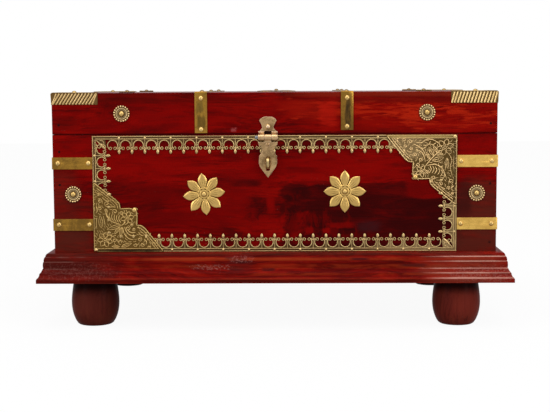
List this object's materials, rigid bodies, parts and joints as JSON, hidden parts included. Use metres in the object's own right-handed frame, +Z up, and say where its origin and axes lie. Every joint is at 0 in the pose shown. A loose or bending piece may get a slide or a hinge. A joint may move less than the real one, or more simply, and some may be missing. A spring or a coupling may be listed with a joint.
{
  "type": "damchiya chest",
  "caption": "Low red lacquered wooden chest on a moulded plinth and turned feet, with a hinged lid, hasp and staple, and pierced brass border, plates, flowers and straps",
  "frame": {"origin": "centre of the chest's footprint, on the floor under its feet", "axes": "+X to the chest's right as seen from the front, +Y from the front to the back, +Z up; the ornamented front faces -Y"},
  "size_m": [0.491, 0.339, 0.2472],
  "materials": {
    "lacquered_wood": "deep red lacquer over straight-grained wood, semi-gloss",
    "foot_wood": "dark brown-red stain, turned, semi-gloss",
    "antique_brass": "pressed sheet brass, aged and darkened in its recesses",
    "bright_brass": "sheet brass, rubbed bright",
    "dull_brass": "sheet brass, tarnished",
    "flower_brass": "pressed sheet brass, warm and worn on its raised parts",
    "hasp_brass": "brass plate, brown tarnish, worn at its edges",
    "hinge_steel": "plain steel, dulled",
    "steel": "steel, grey"
  },
  "bodies": {
    "case": {"case_front_board": "lacquered_wood", "case_back_board": "lacquered_wood", "case_left_end": "lacquered_wood", "case_right_end": "lacquered_wood", "case_floor": "lacquered_wood", "plinth_front": "lacquered_wood", "plinth_back": "lacquered_wood", "plinth_left": "lacquered_wood", "plinth_right": "lacquered_wood", "foot_front_left": "foot_wood", "foot_front_right": "foot_wood", "foot_back_left": "foot_wood", "foot_back_right": "foot_wood", "foot_screws": "steel", "case_wood_nails": "steel", "strap_front_left_upper": "dull_brass", "strap_front_left_lower": "dull_brass", "strap_front_right_upper": "bright_brass", "strap_front_right_lower": "bright_brass", "straps_back": "dull_brass", "case_brass_nails": "bright_brass", "lace_top": "antique_brass", "lace_bottom": "antique_brass", "lace_left": "antique_brass", "lace_right": "antique_brass", "lace_pins": "antique_brass", "corner_plate_lower_left": "antique_brass", "corner_plate_upper_right": "antique_brass", "flower_left": "flower_brass", "flower_right": "flower_brass", "rosette_case_left": "flower_brass", "rosette_case_right": "flower_brass", "hasp_staple": "bright_brass", "hinge_left_case_leaf": "hinge_steel", "hinge_right_case_leaf": "hinge_steel", "hinge_pins": "steel", "case_hinge_screws": "steel"},
    "lid": {"lid_front_board": "lacquered_wood", "lid_back_board": "lacquered_wood", "lid_left_end": "lacquered_wood", "lid_right_end": "lacquered_wood", "lid_top_board": "lacquered_wood", "lid_wood_nails": "steel", "lid_strap_left": "dull_brass", "lid_strap_right": "dull_brass", "corner_cap_front_left": "antique_brass", "corner_cap_front_right": "antique_brass", "corner_cap_back_left": "antique_brass", "corner_cap_back_right": "antique_brass", "lid_brass_nails": "bright_brass", "rosette_lid_left": "flower_brass", "rosette_lid_right": "flower_brass", "lid_top_flower": "flower_brass", "lid_top_rosettes": "flower_brass", "hasp_upper_leaf": "hasp_brass", "hasp_pin": "steel", "hinge_left_lid_leaf": "hinge_steel", "hinge_right_lid_leaf": "hinge_steel", "lid_hinge_screws": "steel"},
    "hasp": {"hasp_leaf": "hasp_brass"}
  },
  "joints": [
    {"name": "lid_hinge", "type": "hinge", "parent": "case", "child": "lid", "pos_m": [0, 0.156, 0.20135], "axis": [-1, 0, 0], "range_deg": [0, 110]},
    {"name": "hasp_hinge", "type": "hinge", "parent": "lid", "child": "hasp", "pos_m": [-0.0063, -0.1574, 0.198], "axis": [-1, 0, 0], "range_deg": [0, 165]}
  ]
}
